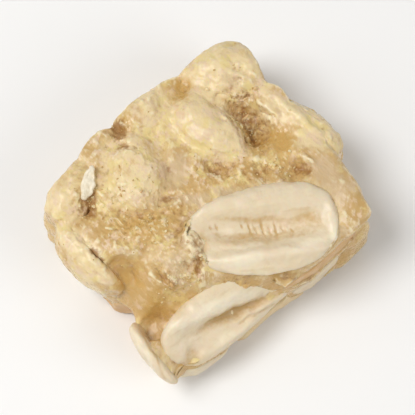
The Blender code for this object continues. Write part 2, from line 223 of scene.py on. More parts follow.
# The stains of nuts that are seen edge on, placed from the middle of the cut square. Below 0 a stain is a
# painted highlight along the nut's rim.
EDGE_STAINS_AND_HIGHLIGHTS = {
    "nut_corner_edge": marks(
        (-14.3, -8.2, 3.6, 0.16, 79, 0.9), (-13.5, -8.4, 3.6, 0.5, 79, 0.5),
        (-15.0, -7.6, 3.2, 0.3, 79, -0.8), (-12.9, -9.4, 3.0, 0.5, 79, 0.6),
    ),
    "nut_left_rim": marks((-14.2, 3.0, 4.6, 0.2, 84, 0.9), (-13.4, 3.4, 4.0, 0.4, 84, -0.9)),
}
# The short brown slits that cross the trough of the nut on the face: place along it, half length and depth.
# Each becomes a mark and a stain.
SLITS = [
    (-5.3, 0.3, 0.6), (-4.7, 0.35, 0.8), (-2.1, 0.4, 0.6), (-1.3, 0.6, 1.0), (-0.6, 0.5, 0.8),
    (0.2, 0.64, 1.0), (0.8, 0.4, 0.7), (1.5, 0.6, 1.0), (2.3, 0.45, 0.8), (3.2, 0.3, 0.5),
]
SLIT_WIDTH = 0.13
SLIT_RISE = -0.18
SLIT_STAIN = 1.3
for k, (place, reach, depth) in enumerate(SLITS):
    aside = 0.1 - 0.17 * place + 0.1 * (k % 3)
    slit = Mark(place, aside, reach, SLIT_WIDTH, 112 - 9 * (k % 2), SLIT_RISE * depth)
    OPEN_NUTS["nut_open_face"].marks.append(slit)
    OPEN_NUTS["nut_open_face"].stains.append(slit._replace(rise=SLIT_STAIN * depth))


def smoothstep(low, high, values):
    """0 below low and 1 above high, with a smooth rise between them. low may be above high."""
    share = np.clip((values - low) / (high - low), 0.0, 1.0)
    return share * share * (3.0 - 2.0 * share)


def noise_at(points, size, shift=0.0, octaves=1):
    """Smooth noise with lumps of about that size, at each point, from about -1 to 1."""
    return np.array([noise.fractal(p, 0.9, 2.1, octaves) for p in (points / size + shift).tolist()])


def cells_at(points, size, shift=0.0):
    """How far each point is from the middle of a cell of a random mosaic, up to about 1 at the cell's edge."""
    return np.array([noise.voronoi(p)[0][0] for p in (points / size + shift).tolist()])


def stirred(points, *stirs):
    """Points moved a little at random. Each stir is a size of waves, their place in the noise, and a reach."""
    moved = points.copy()
    for size, shift, reach in stirs:
        moved += np.array([noise.noise_vector(p) for p in (points / size + shift).tolist()]) * reach
    return moved


def swayed(points):
    """Points of the face moved so that marks and patches placed by them get ragged edges."""
    return stirred(points, (2.6 * MM, 0.0, 0.5 * MM), (0.9 * MM, 7.7, 0.2 * MM))


def wavered(points):
    """Points of a nut moved a very little, for the marks on it."""
    return stirred(points, (1.7 * MM, 0.0, 0.3 * MM), (0.5 * MM, 3.3, 0.12 * MM))


def oval_reach(points, middle, mark):
    """How far each point lies from a mark's middle, as a square: 1 at the edge of the mark's oval."""
    across = points[:, 0] - middle.x - mark.x * MM
    back = points[:, 1] - middle.y - mark.y * MM
    turn = math.radians(mark.heading)
    u = (across * math.cos(turn) + back * math.sin(turn)) / (mark.half_x * MM)
    v = (back * math.cos(turn) - across * math.sin(turn)) / (mark.half_y * MM)
    return u * u + v * v


def relief_height(points, middle, relief):
    """Height of a relief's marks at each point. A mark is level in the middle, with a steep edge."""
    height = np.zeros(len(points))
    for mark in relief:
        reach = oval_reach(points, middle, mark)
        height += mark.rise * MM * np.exp(-(reach**1.5))
    return height


def finish_share(points, finish):
    """How strongly one finish of the face lies over each point. It fades down the cut sides."""
    share = np.zeros(len(points))
    for patch in PATCHES[finish]:
        share = np.maximum(share, patch.rise * np.exp(-SOFTNESS * oval_reach(points, FACE_MIDDLE, patch)))
    return share * smoothstep(*FINISH_FADE, points[:, 2])


class Skin:
    """A mesh's points as arrays, for sculpting."""

    def __init__(self, mesh):
        self.mesh = mesh
        count = len(mesh.vertices)
        self.points = np.empty(count * 3)
        mesh.vertices.foreach_get("co", self.points)
        self.points = self.points.reshape(-1, 3)
        edges = np.empty(len(mesh.edges) * 2, dtype=np.int64)
        mesh.edges.foreach_get("vertices", edges)
        self.edges = edges.reshape(-1, 2)
        self.degree = np.maximum(np.bincount(edges, minlength=count), 1)

    def write(self):
        """Puts the points back in the mesh."""
        self.mesh.vertices.foreach_set("co", self.points.astype(np.float32).ravel())
        self.mesh.update()

    def normals(self):
        self.write()
        found = np.empty(len(self.points) * 3)
        self.mesh.vertex_normals.foreach_get("vector", found)
        return found.reshape(-1, 3)

    def neighbour_mean(self, values):
        """The mean of a value or a place over each point's neighbours."""
        flat = values.reshape(len(self.points), -1)
        a, b = self.edges.T
        columns = []
        for column in flat.T:
            total = np.bincount(a, column[b], len(column)) + np.bincount(b, column[a], len(column))
            columns.append(total / self.degree)
        return np.stack(columns, axis=1).reshape(values.shape)

    def smooth(self, rounds, share=0.5):
        """Evens the surface. share is how far a point goes to its neighbours' middle, for all or for each."""
        share = np.broadcast_to(np.asarray(share, dtype=float), (len(self.points),))[:, None]
        for _ in range(rounds):
            self.points += (self.neighbour_mean(self.points) - self.points) * share

    def relax(self, rounds):
        """Evens the skin only where it is drawn out in long thin faces."""
        a, b = self.edges.T
        lengths = np.linalg.norm(self.points[a] - self.points[b], axis=1)
        longest = np.zeros(len(self.points))
        np.maximum.at(longest, a, lengths)
        np.maximum.at(longest, b, lengths)
        middling = np.median(longest)
        share = smoothstep(1.8 * middling, 3.0 * middling, longest)
        for _ in range(2):
            share = np.maximum(share, self.neighbour_mean(share))
        self.smooth(rounds, 0.6 * share)

    def hollow(self, rounds, depth):
        """How hollow the surface is at each point: 1 in a hollow of that depth, -1 on such a ridge."""
        normals = self.normals()
        even = self.points.copy()
        for _ in range(rounds):
            even += (self.neighbour_mean(even) - even) * 0.7
        return np.clip(np.einsum("ij,ij->i", even - self.points, normals) / depth, -1.0, 1.0)

    def paint(self, name, values):
        """Stores a value for each point, for the material to read."""
        attribute = self.mesh.attributes.new(name, "FLOAT", "POINT")
        attribute.data.foreach_set("value", np.asarray(values, dtype=np.float32))


def refine_face(mesh):
    """Splits each face that looks upward in four, for the fine relief of the rough face."""
    body = bmesh.new()
    body.from_mesh(mesh)
    body.normal_update()
    edges = {edge for face in body.faces if face.normal.z > 0.3 for edge in face.edges}
    bmesh.ops.subdivide_edges(body, edges=list(edges), cuts=1, use_grid_fill=True)
    body.to_mesh(mesh)
    body.free()


def placed(name, data):
    """A new object of the scene."""
    obj = bpy.data.objects.new(name, data)
    bpy.context.scene.collection.objects.link(obj)
    return obj


def modified(mesh, kind, **settings):
    """A new mesh of what a modifier makes of this one."""
    scratch = placed("scratch", mesh)
    modifier = scratch.modifiers.new(kind, kind)
    for key, setting in settings.items():
        setattr(modifier, key, setting)
    graph = bpy.context.evaluated_depsgraph_get()
    made = bpy.data.meshes.new_from_object(scratch.evaluated_get(graph))
    bpy.data.objects.remove(scratch, do_unlink=True)
    return made


def remeshed(mesh, voxel):
    """The mesh's outer skin in even faces. Solids that overlap become one."""
    return modified(mesh, "REMESH", mode="VOXEL", voxel_size=voxel)


def cad_solid(node):
    """A CAD node's solid as a bmesh, with its split corners welded."""
    body = bmesh.new()
    body.from_mesh(frame["nodes"][node].data)
    bmesh.ops.remove_doubles(body, verts=body.verts, dist=0.001 * MM)
    return body


def mesh_of(body, name):
    mesh = bpy.data.meshes.new(name)
    body.to_mesh(mesh)
    body.free()
    return mesh


def tree_of(mesh):
    """A search tree over a mesh's faces."""
    body = bmesh.new()
    body.from_mesh(mesh)
    tree = BVHTree.FromBMesh(body)
    body.free()
    return tree


def nearest(tree, points):
    """For each point the nearest place on a surface, the face there, and how far out of it the point lies."""
    places = np.empty((len(points), 3))
    faces = np.empty(len(points), dtype=np.int64)
    outside = np.empty(len(points))
    for k, (x, y, z) in enumerate(points.tolist()):
        place, normal, face, distance = tree.find_nearest((x, y, z))
        places[k] = place
        faces[k] = face
        out = (x - place.x) * normal.x + (y - place.y) * normal.y + (z - place.z) * normal.z
        outside[k] = -distance if out < 0.0 else distance
    return places, faces, outside


def finished_piece(mesh, name, material, replaced=()):
    """A smooth shaded object of the piece. It rides on the body and stands in for the replaced CAD nodes."""
    piece = placed(name, mesh)
    mesh.materials.clear()
    mesh.materials.append(material)
    mesh.shade_smooth()
    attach(piece, BODY)
    if replaced:
        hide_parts(*replaced)
    return piece


class Value:
    """A number that varies over a surface. Sums, differences and products of values add Math nodes."""

    def __init__(self, paint, socket):
        self.paint = paint
        self.socket = socket

    def _math(self, operation, a, b):
        return self.paint.node("ShaderNodeMath", {"operation": operation}, {0: a, 1: b})

    def __add__(self, other):
        return self._math("ADD", self, other)

    def __radd__(self, other):
        return self._math("ADD", other, self)

    def __sub__(self, other):
        return self._math("SUBTRACT", self, other)

    def __rsub__(self, other):
        return self._math("SUBTRACT", other, self)

    def __mul__(self, other):
        return self._math("MULTIPLY", self, other)

    def __rmul__(self, other):
        return self._math("MULTIPLY", other, self)

    def between(self, low, high):
        """0 below low and 1 above high, with a smooth rise between."""
        sockets = {"Value": self, "From Min": low, "From Max": high}
        return self.paint.node("ShaderNodeMapRange", {"interpolation_type": "SMOOTHSTEP"}, sockets)


class Paint:
    """One material's nodes."""

    def __init__(self, name):
        self.material = bpy.data.materials.new(name)
        self.material.use_nodes = True
        self.tree = self.material.node_tree
        self.tree.nodes.clear()
        self.place = self.node("ShaderNodeTexCoord", output="Object")

    def node(self, kind, settings=None, sockets=None, output=0):
        """Adds a node, sets its settings, fills its sockets with numbers or values, and gives one output."""
        made = self.tree.nodes.new(kind)
        for key, setting in (settings or {}).items():
            setattr(made, key, setting)
        for key, filled in (sockets or {}).items():
            if isinstance(filled, Value):
                self.tree.links.new(filled.socket, made.inputs[key])
            else:
                made.inputs[key].default_value = filled
        return Value(self, made.outputs[output]) if made.outputs else None

    def attribute(self, name):
        """A value painted on the mesh's points."""
        return self.node("ShaderNodeAttribute", {"attribute_name": name}, output="Fac")

    def lumps(self, size, detail=2.0, roughness=0.55, draw=0.0):
        """Noise with lumps of about that size, 0 to 1. Another draw gives other lumps."""
        sockets = {"Vector": self.place, "W": draw, "Scale": 1.0 / size}
        sockets.update({"Detail": detail, "Roughness": roughness})
        return self.node("ShaderNodeTexNoise", {"noise_dimensions": "4D"}, sockets, "Fac")

    def streaks(self, length, width, heading):
        """Noise drawn out along a heading, 0 to 1."""
        turn = (0.0, 0.0, math.radians(heading))
        sockets = {"Vector": self.place, "Rotation": turn, "Scale": (length, width, width)}
        drawn_out = self.node("ShaderNodeMapping", {"vector_type": "TEXTURE"}, sockets)
        sockets = {"Vector": drawn_out, "Scale": 1.0, "Detail": 3.0, "Distortion": 0.4}
        return self.node("ShaderNodeTexNoise", sockets=sockets, output="Fac")

    def cells(self, size):
        """Distance from the middle of the cells of a random mosaic."""
        sockets = {"Vector": self.place, "Scale": 1.0 / size}
        return self.node("ShaderNodeTexVoronoi", sockets=sockets, output="Distance")

    def mix(self, share, a, b):
        """Two colours mixed by share. Each is three numbers or the output of another mix."""
        a, b = (end if isinstance(end, Value) else (*end, 1.0) for end in (a, b))
        return self.node("ShaderNodeMix", {"data_type": "RGBA"}, {0: share, 6: a, 7: b}, output=2)

    def bump(self, height, distance, strength=1.0, under=None):
        """A bump of that height in metres, over another bump if one is given."""
        sockets = {"Height": height, "Distance": distance, "Strength": strength}
        if under is not None:
            sockets["Normal"] = under
        return self.node("ShaderNodeBump", sockets=sockets)

    def principled(self, **sockets):
        """The shader and the output. A name's underscores stand for the spaces of its socket."""
        named = {key.replace("_", " "): filled for key, filled in sockets.items()}
        shader = self.node("ShaderNodeBsdfPrincipled", {"subsurface_method": "RANDOM_WALK"}, named)
        self.node("ShaderNodeOutputMaterial", sockets={"Surface": shader})
        return self.material


def length_property(name, description, millimetres):
    return FloatProperty(name=name, description=description, default=millimetres * MM, unit="LENGTH")


def angle_property(name, description, degrees):
    return FloatProperty(name=name, description=description, default=math.radians(degrees), subtype="ANGLE")


def colour_property(name, description, colour):
    return FloatVectorProperty(name=name, description=description, default=colour, subtype="COLOR")


class BrittleSugarSettings(PropertyGroup):
    """Sizes and colours of the cooked sugar."""

    face_size: length_property("Face size", "Width of one face of the sugar's skin", 0.25)
    growth: length_property("Fill", "How far the sugar fills the gap round each nut", 0.5)
    dip: length_property("Dip", "How far the sugar lies below the skin of a bare nut", 0.14)
    coat: length_property("Coat", "Thickness of the sugar over a coated nut", 0.34)
    creep: length_property("Creep", "How far the sugar creeps over a bare nut's edge", 0.8)
    crevice: length_property("Crevice", "Depth of the cracks round the nuts", 0.4)
    lump_height: length_property("Lumps", "Height of the broad lumps", 0.17)
    grain_height: length_property("Grain", "Height of the coarse grain", 0.15)
    clear: colour_property("Clear", "Thick sugar", (0.57, 0.365, 0.135))
    thin: colour_property("Thin", "Sugar with a nut close under it", (0.80, 0.635, 0.36))
    lemon: colour_property("Lemon", "Yellow smears", (0.77, 0.615, 0.27))
    blush: colour_property("Blush", "Pinkish dabs", (0.76, 0.565, 0.39))
    honey: colour_property("Honey", "Yellower sugar", (0.60, 0.37, 0.115))
    frosted: colour_property("Frosted", "Crystallised sugar", (0.61, 0.445, 0.255))
    # Painted highlight on the ridges and the tops of the nubs, also used for pale streaks.
    crest: colour_property("Crest", "Sugar on the ridges", (0.90, 0.80, 0.54))
    # Toasted brown, which is also the painted shade in the hollows and creases.
    toasted: colour_property("Toasted", "Browned sugar in the hollows", (0.31, 0.14, 0.03))


class BrittleNutSettings(PropertyGroup):
    """Sizes and colours of the split peanuts."""

    coarse_face: length_property("First face size", "Face size while a nut is evened", 0.36)
    evening: IntProperty(name="Evening", description="Rounds of evening of a nut's facets", default=14, min=0)
    wrinkle: length_property("Wrinkles", "Height of the wrinkles in a nut's skin", 0.07)
    pale: colour_property("Pale", "Flesh of a pale nut", (0.73, 0.585, 0.36))
    golden: colour_property("Golden", "Flesh of a golden nut", (0.74, 0.54, 0.27))
    roasted: colour_property("Roasted", "Flesh of a darker nut", (0.62, 0.36, 0.13))
    blush: colour_property("Blush", "Pinkish dabs on the flesh", (0.80, 0.63, 0.46))
    stain: colour_property("Stain", "Syrup soaked into a nut's trough", (0.56, 0.36, 0.13))
    # The colour of the painted highlights on the lobes and rims of the nuts, and of their pale spots.
    pale_spot_and_highlight: colour_property("Bleached", "The palest flesh", (0.90, 0.81, 0.62))
    chip: colour_property("Chip", "The white chip of nut", (0.87, 0.79, 0.62))


class BrittleCrumbSettings(PropertyGroup):
    """Numbers and sizes of the grains and crumbs."""

    grains: IntProperty(name="Grains", description="Number of sugar grains", default=500, min=0)
    grain_size: length_property("Grain size", "Width of a middling sugar grain", 0.26)
    crumbs: IntProperty(name="Crumbs", description="Number of nut crumbs", default=16, min=0)
    crumb_size: length_property("Crumb size", "Width of a middling nut crumb", 0.5)
    grain_light: colour_property("Light grain", "The palest sugar grains", (0.80, 0.63, 0.34))
    grain_dark: colour_property("Dark grain", "The darkest sugar grains", (0.52, 0.31, 0.10))
    crumb_light: colour_property("Light crumb", "The palest nut crumbs", (0.84, 0.70, 0.43))
    crumb_dark: colour_property("Dark crumb", "The darkest nut crumbs", (0.62, 0.40, 0.17))
    seed: IntProperty(name="Seed", description="Seed of the random draws", default=7, min=0)


class BrittleStageSettings(PropertyGroup):
    """The camera, the lights and the floor."""

    azimuth: angle_property("Azimuth", "Turn of the camera round the piece", -39.6)
    elevation: angle_property("Elevation", "Height of the camera over the floor", 70)
    lens: FloatProperty(name="Lens", description="Focal length in millimetres", default=180.0, min=20.0)
    view_width: length_property("View width", "Width that the picture shows", 46.0)
    floor: colour_property("Floor", "Colour of the floor", (0.90, 0.895, 0.885))


# How far from a nut the sugar follows it, how wide the seam round it is, how deep the sugar lies below an open
# face, and how far from the pocket's walls it is as deep as that.
NUT_REACH = (1.5 * MM, 0.6 * MM)
SEAM_WIDTH = (0.8 * MM, 0.3 * MM)
DEEP_DIP = 1.2 * MM
POCKET_WALL = (0.5 * MM, 1.6 * MM)
# A distance that counts as none.
TOUCHING = 0.0001 * MM
# How sharply a patch or a stain fades towards its edge.
SOFTNESS = 0.8
# The heights between which the patches of the face fade down the sides.
FINISH_FADE = (4.0 * MM, 6.5 * MM)
# The level that sugar fills the valleys towards, and the heights between which it starts to.
FACE_LEVEL = 11.1 * MM
VALLEY_RISE = (8.6 * MM, 9.8 * MM)
# The nubs of crystallised sugar: their size, and the scale of their noise along each axis.
NUB_SIZE = 0.42 * MM
NUB_STRETCH = np.array((0.8, 0.6, 1.0))
# The finishes that the sugar's colours read from its points.
PAINTED = ("honey", "frosted", "creamy", "toasted", "grainy")
# How far a skin may stand past the box of the solids, at the sides and at the top, and how far the nuts stay
# off the floor that the sugar lies on.
SIDE_MARGIN = 0.3 * MM
TOP_MARGIN = 0.2 * MM
FLOOR_GAP = 0.02 * MM
# A facet of a nut larger than this is a cut by the knife.
CUT_AREA = 5.0 * MM * MM
# Tints of the flesh: painted shade in the trough, also used for its darker fibres, and painted highlight on
# the ridges up to a limit.
SHADE_AND_FIBRE_TINT = (0.72, 0.54, 0.30)
LIT_TINT = (1.06, 1.12, 1.3)
LIT_LIMIT = (0.88, 0.8, 0.66)
# The white chip of nut that lies near the left corner of the face.
CHIP_PLACE = FACE_MIDDLE + Vector((-8.3, 10.1, 0.0)) * MM
CHIP_SIZE = (3.9 * MM, 1.45 * MM, 1.2 * MM)
CHIP_TURN = Euler((math.radians(14), math.radians(-8), math.radians(38)))
# Each light's place, width and power in watts, and the light of the studio all round.
LIGHTS = {
    "key_light": ((-0.19, 0.12, 0.42), 0.24, 1.26),
    "side_light": ((-0.30, 0.20, 0.26), 0.30, 0.3),
    "front_light": ((0.16, -0.38, 0.28), 0.36, 0.7),
}
WORLD_COLOUR = (1.0, 0.99, 0.97, 1.0)
WORLD_STRENGTH = 0.36


def grown_nut(node, growth):
    """A nut's solid, larger all round, so that it closes the gap of its pocket."""
    body = cad_solid(node)
    body.normal_update()
    for vertex in body.verts:
        vertex.co += vertex.normal * growth
    return body


def filled_block(settings, nuts):
    """The sugar's solid and the grown nuts as one closed skin."""
    block = cad_solid("sugar")
    for node in nuts:
        block.from_mesh(mesh_of(grown_nut(node, settings.growth), node + "_grown"))
    return remeshed(mesh_of(block, "sugar_block"), settings.face_size)


def joined(meshes):
    """One mesh of them all, and for each of its faces the number of the mesh that it comes from."""
    body = bmesh.new()
    owners = []
    for number, mesh in enumerate(meshes):
        body.from_mesh(mesh)
        owners.extend([number] * len(mesh.polygons))
    return mesh_of(body, "joined"), np.array(owners)


def open_face_share(points):
    """1 on the open faces of the nuts that lie bare, and 0 off them."""
    share = np.zeros(len(points))
    for nut in OPEN_NUTS.values():
        local = in_nut_frame(points, nut)
        inside = smoothstep(1.06, 0.8, oval_reach(local, Vector(), nut.oval))
        share = np.maximum(share, inside * smoothstep(-1.8 * MM, -0.9 * MM, local[:, 2]))
    return share


def seat_on_nuts(skin, settings, pieces):
    """Lays the sugar over and round the nuts: below the skin of a bare one, and over a coated one."""
    whole, owners = joined([piece.data for piece in pieces])
    places, faces, gap = nearest(tree_of(whole), skin.points)
    solids, _ = joined([frame["nodes"][node].data for node in nut_nodes()])
    solid_gap = nearest(tree_of(solids), skin.points)[2]
    bare = np.array([BARE.get(piece["nut"], 1.0) for piece in pieces])[owners[faces]]
    unnamed = np.array([piece["nut"] not in BARE for piece in pieces])[owners[faces]]
    bare = np.where(unnamed, smoothstep(0.6, 0.2, skin.normals()[:, 2]), bare)
    to_sugar = np.abs(nearest(tree_of(mesh_of(cad_solid("sugar"), "sugar_walls")), skin.points)[2])
    patchy = noise_at(skin.points, 2.0 * MM, 3.1, 3)
    creeping = smoothstep(settings.creep, settings.creep * 0.35, to_sugar + patchy * 0.3 * MM)
    open_face = open_face_share(places)
    cover = np.maximum(1.0 - bare + patchy * 0.25 * (bare > 0.1), creeping * 0.45 * (1.0 - open_face))
    cover = np.maximum(cover, finish_share(swayed(skin.points), "cover"))
    dip = settings.dip + DEEP_DIP * open_face * smoothstep(*POCKET_WALL, to_sugar)
    height = -dip + (dip + settings.coat) * smoothstep(0.25, 0.8, cover)
    outward = skin.points - places
    length = np.linalg.norm(outward, axis=1)[:, None]
    outward = np.where(length > TOUCHING, outward / np.maximum(length, TOUCHING), skin.normals())
    outward *= np.sign(gap)[:, None]
    held = smoothstep(*NUT_REACH, np.minimum(gap, solid_gap))[:, None]
    skin.points += (places + outward * height[:, None] - skin.points) * held
    return gap, to_sugar, bare


def crack_round_nuts(skin, settings, gap, to_sugar, bare):
    """Opens cracks in some stretches of the seam between the bare nuts and the sugar."""
    seam = smoothstep(*SEAM_WIDTH, gap) * smoothstep(*SEAM_WIDTH, to_sugar) * (0.25 + 0.75 * bare)
    stretch = smoothstep(-0.15, 0.35, noise_at(skin.points, 3.4 * MM, 9.7, 2))
    upward = smoothstep(-0.2, 0.4, skin.normals()[:, 2])
    skin.points -= skin.normals() * (settings.crevice * seam * stretch * upward)[:, None]


def fill_valleys(skin, sunk):
    """Half fills the valleys between the coated nuts, up to the level of the face, but not the hollows."""
    share = smoothstep(0.2, 0.7, skin.normals()[:, 2]) * smoothstep(*VALLEY_RISE, skin.points[:, 2])
    share *= np.minimum(finish_share(skin.points, "filled"), 1.0)
    skin.points[:, 2] += np.maximum(FACE_LEVEL + sunk - skin.points[:, 2], 0.0) * 0.55 * share


def face_relief(skin):
    """The height of the rough face's marks at each point that looks upward."""
    upward = smoothstep(0.15, 0.6, skin.normals()[:, 2])
    return relief_height(swayed(skin.points), FACE_MIDDLE, FACE_MARKS) * upward


def sink_face(skin):
    """Sinks the hollows of the rough face. The sugar and the coated nuts are sunk alike."""
    sunk = np.minimum(face_relief(skin), 0.0)
    skin.points[:, 2] += sunk
    return sunk


def roughen(skin, settings, side):
    """Adds the broad lumps and the coarse grain of crystallised sugar. The cut sides stay evener."""
    swaying = swayed(skin.points)
    smooth = finish_share(swaying, "smooth")
    grainy = finish_share(swaying, "grainy")
    rough = np.clip(0.3 + grainy - 0.3 * smooth, 0.02, 1.0)
    lumps = noise_at(skin.points, 2.8 * MM, 5.3, 3) * settings.lump_height * (1.0 - 0.5 * smooth)
    creases = -np.abs(noise_at(skin.points, 1.9 * MM, 12.4, 2)) + 0.25
    nubs = noise_at(skin.points * NUB_STRETCH, NUB_SIZE, 1.7, 2)
    grain = (0.5 - cells_at(skin.points, NUB_SIZE * 1.3, 2.9)) * 0.5
    height = lumps + creases * settings.lump_height * 0.9 * (1.0 - 0.75 * smooth)
    height += (nubs + grain) * rough * settings.grain_height
    skin.points += skin.normals() * (height * (1.0 - 0.6 * side))[:, None]
    skin.paint("nub", nubs * (1.0 - side))


def keep_in_box(points):
    """Holds points inside the box of the CAD solids, and above the floor."""
    low, high = CAD_BOX
    np.clip(points[:, 0], low.x - SIDE_MARGIN, high.x + SIDE_MARGIN, out=points[:, 0])
    np.clip(points[:, 1], low.y - SIDE_MARGIN, high.y + SIDE_MARGIN, out=points[:, 1])
    np.clip(points[:, 2], 0.0, high.z + TOP_MARGIN, out=points[:, 2])


def sugar_material(settings):
    """Pale cooked sugar: amber where it is thick, creamy over a nut, toasted in patches, with painted shade in
    the hollows and creases, a painted highlight on the ridges, and crystals.
    """
    paint = Paint("cooked_sugar")
    thin = paint.attribute("thin")
    hollow = paint.attribute("hollow")
    crease = paint.attribute("crease")
    nub = paint.attribute("nub")
    side = paint.attribute("side")
    honeyed, frosty, coated, toast_and_shadow_patches, grainy = (paint.attribute(finish) for finish in PAINTED)
    drift = paint.lumps(3.0 * MM, 2.0)
    blotch = paint.lumps(1.3 * MM, 3.0, 0.6)
    dab = paint.lumps(1.1 * MM, 3.0, 0.6, 4.0)
    smear = paint.lumps(1.7 * MM, 3.0, 0.6, 9.0)
    speck = paint.lumps(0.42 * MM, 3.0, 0.65)
    streak = paint.streaks(2.2 * MM, 0.4 * MM, -85) * drift
    streak = streak + paint.streaks(1.8 * MM, 0.45 * MM, 40) * (1.0 - drift)
    creamy = thin * 0.5 + coated - 0.4 * grainy + (blotch - 0.5) * 1.8 - side * 0.4
    colour = paint.mix(creamy.between(0.0, 0.9), settings.clear, settings.thin)
    colour = paint.mix(smear.between(0.5, 0.62) * 0.8, colour, settings.lemon)
    colour = paint.mix((dab + (streak - 0.5) * 0.8).between(0.5, 0.64) * 0.7, colour, settings.blush)
    honey = (honeyed + (blotch - 0.5) * 2.2 + (streak - 0.5) * 1.4).between(0.2, 1.3)
    colour = paint.mix(honey, colour, settings.honey)
    amber = ((drift - 0.5) * 1.4 + (blotch - 0.5) + 0.75 - coated).between(0.1, 1.1) * side
    colour = paint.mix(amber * 0.75, colour, settings.honey)
    frosted = frosty + (drift - 0.5) * 0.9 + (streak - 0.5) * 1.2 - side * 0.3
    colour = paint.mix(frosted.between(0.3, 0.95) * 0.85, colour, settings.frosted)
    # Painted highlight on the ridges and nub tops, away from the hollows and creases, with pale streaks and
    # specks.
    crest = nub * grainy * 0.5 - grainy * 0.2 - hollow * 0.5 - crease * 0.8
    crest = (crest + (streak - 0.5) * 1.6 + (speck - 0.5) * 0.6).between(0.1, 1.0)
    colour = paint.mix(crest * (0.75 - 0.5 * side - 0.3 * grainy), colour, settings.crest)
    # Toasted patches, some of them painted shadow and shade, and painted shade in the hollows and creases,
    # with brown specks.
    toasted = toast_and_shadow_patches + (speck - 0.5) * 1.6 + (dab - 0.5) * 0.8 - nub * 0.4
    toasted = toasted.between(0.3, 1.15)
    shade_and_specks = hollow * 0.4 + crease * 0.6 + (speck - 0.5) * 1.2 + (dab - 0.5) * 0.6 - (streak - 0.5)
    shade_and_specks = shade_and_specks.between(0.2, 1.3)
    colour = paint.mix((toasted + shade_and_specks - toasted * shade_and_specks) * 0.85, colour, settings.toasted)
    crystals = paint.cells(0.3 * MM)
    rough = 0.42 + 0.2 * grainy + 0.3 * (speck - 0.5) - 0.14 * honey - 0.14 * side
    normal = paint.bump(streak * 0.6 + blotch * 0.6, 0.3 * MM, 0.5)
    normal = paint.bump(crystals * (0.15 + grainy) + speck * 0.6, 0.06 * MM, 0.5, normal)
    return paint.principled(
        Base_Color=colour,
        Roughness=rough,
        Normal=normal,
        IOR=1.47,
        Subsurface_Weight=0.15,
        Subsurface_Radius=(1.0, 0.5, 0.18),
        Subsurface_Scale=0.5 * MM,
        Coat_Weight=0.18,
        Coat_Roughness=0.22,
    )


def nut_material(settings, finish):
    """Peanut flesh: a creamy painted highlight on the ridges and a darker, yellower painted shade in the
    trough, with fine fibres and a thin glaze.
    """
    flesh = tuple(getattr(settings, finish))
    shade_and_fibre_flesh = [part * tint for part, tint in zip(flesh, SHADE_AND_FIBRE_TINT)]
    lit = [min(part * tint, limit) for part, tint, limit in zip(flesh, LIT_TINT, LIT_LIMIT)]
    paint = Paint("peanut_" + finish)
    hollow = paint.attribute("hollow")
    crease = paint.attribute("crease")
    fibre = paint.attribute("fibre")
    broad = paint.lumps(2.2 * MM, 3.0)
    fine = paint.lumps(0.45 * MM, 3.0, 0.6)
    yellow = (broad + 0.3 * (fine - 0.5)).between(0.36, 0.66)
    colour = paint.mix(yellow * 0.4, lit, flesh)
    colour = paint.mix((fibre + 0.5 * (fine - 0.5)).between(0.15, 0.7) * 0.22, colour, shade_and_fibre_flesh)
    # Painted highlight on the ridges, and painted shade in the trough and creases, from the mesh's hollows.
    ridge = (0.3 * (fine - 0.5) - hollow * 0.7 - crease * 0.5).between(0.1, 0.8)
    colour = paint.mix(ridge * 0.75, colour, lit)
    trough = (hollow * 0.7 + crease * 0.5 + 0.4 * (fine - 0.5)).between(0.2, 1.1)
    colour = paint.mix(trough * 0.7, colour, shade_and_fibre_flesh)
    stain = paint.attribute("stain")
    stained = (stain + 0.7 * (fine - 0.5) + 0.4 * (broad - 0.5)).between(0.12, 1.15)
    colour = paint.mix(stained * 0.8, colour, settings.stain)
    # Where a stain is below 0: a painted highlight on the lobes and rims, and a pale spot elsewhere.
    pale_spot_and_highlight = (0.4 * (fine - 0.5) - stain).between(0.1, 1.0)
    colour = paint.mix(pale_spot_and_highlight * 0.9, colour, settings.pale_spot_and_highlight)
    blush = paint.lumps(1.2 * MM, 3.0, 0.6, 5.0).between(0.48, 0.64)
    colour = paint.mix(blush * 0.3, colour, settings.blush)
    rough = 0.4 + 0.2 * (fine - 0.5)
    normal = paint.bump(paint.lumps(0.9 * MM, 2.0), 0.12 * MM, 0.5)
    normal = paint.bump(fine, 0.04 * MM, 0.5, normal)
    return paint.principled(
        Base_Color=colour,
        Roughness=rough,
        Normal=normal,
        IOR=1.45,
        Subsurface_Weight=0.25,
        Subsurface_Radius=(1.0, 0.55, 0.24),
        Subsurface_Scale=0.7 * MM,
        Coat_Weight=0.05,
        Coat_Roughness=0.25,
    )


def stone_material(name, light, dark, roughness):
    """Grains or crumbs, each one somewhere between two colours."""
    paint = Paint(name)
    share = (paint.attribute("tint") + 0.5 * (paint.lumps(0.5 * MM, 2.0) - 0.5)).between(0.1, 0.95)
    return paint.principled(
        Base_Color=paint.mix(share, light, dark),
        Roughness=roughness,
        Normal=paint.bump(paint.lumps(0.1 * MM, 2.0), 0.02 * MM, 0.5),
        IOR=1.47,
        Subsurface_Weight=0.3,
        Subsurface_Radius=(1.0, 0.6, 0.3),
        Subsurface_Scale=0.4 * MM,
    )


def cut_share(skin, node):
    """1 where a nut's surface is a flat cut by the knife, and 0 on its own round skin."""
    body = cad_solid(node)
    bmesh.ops.dissolve_limit(body, angle_limit=math.radians(2), verts=body.verts, edges=body.edges)
    flat = [face.calc_area() > CUT_AREA for face in body.faces]
    tree = BVHTree.FromBMesh(body)
    body.free()
    faces = nearest(tree, skin.points)[1]
    return np.array(flat, dtype=float)[faces]


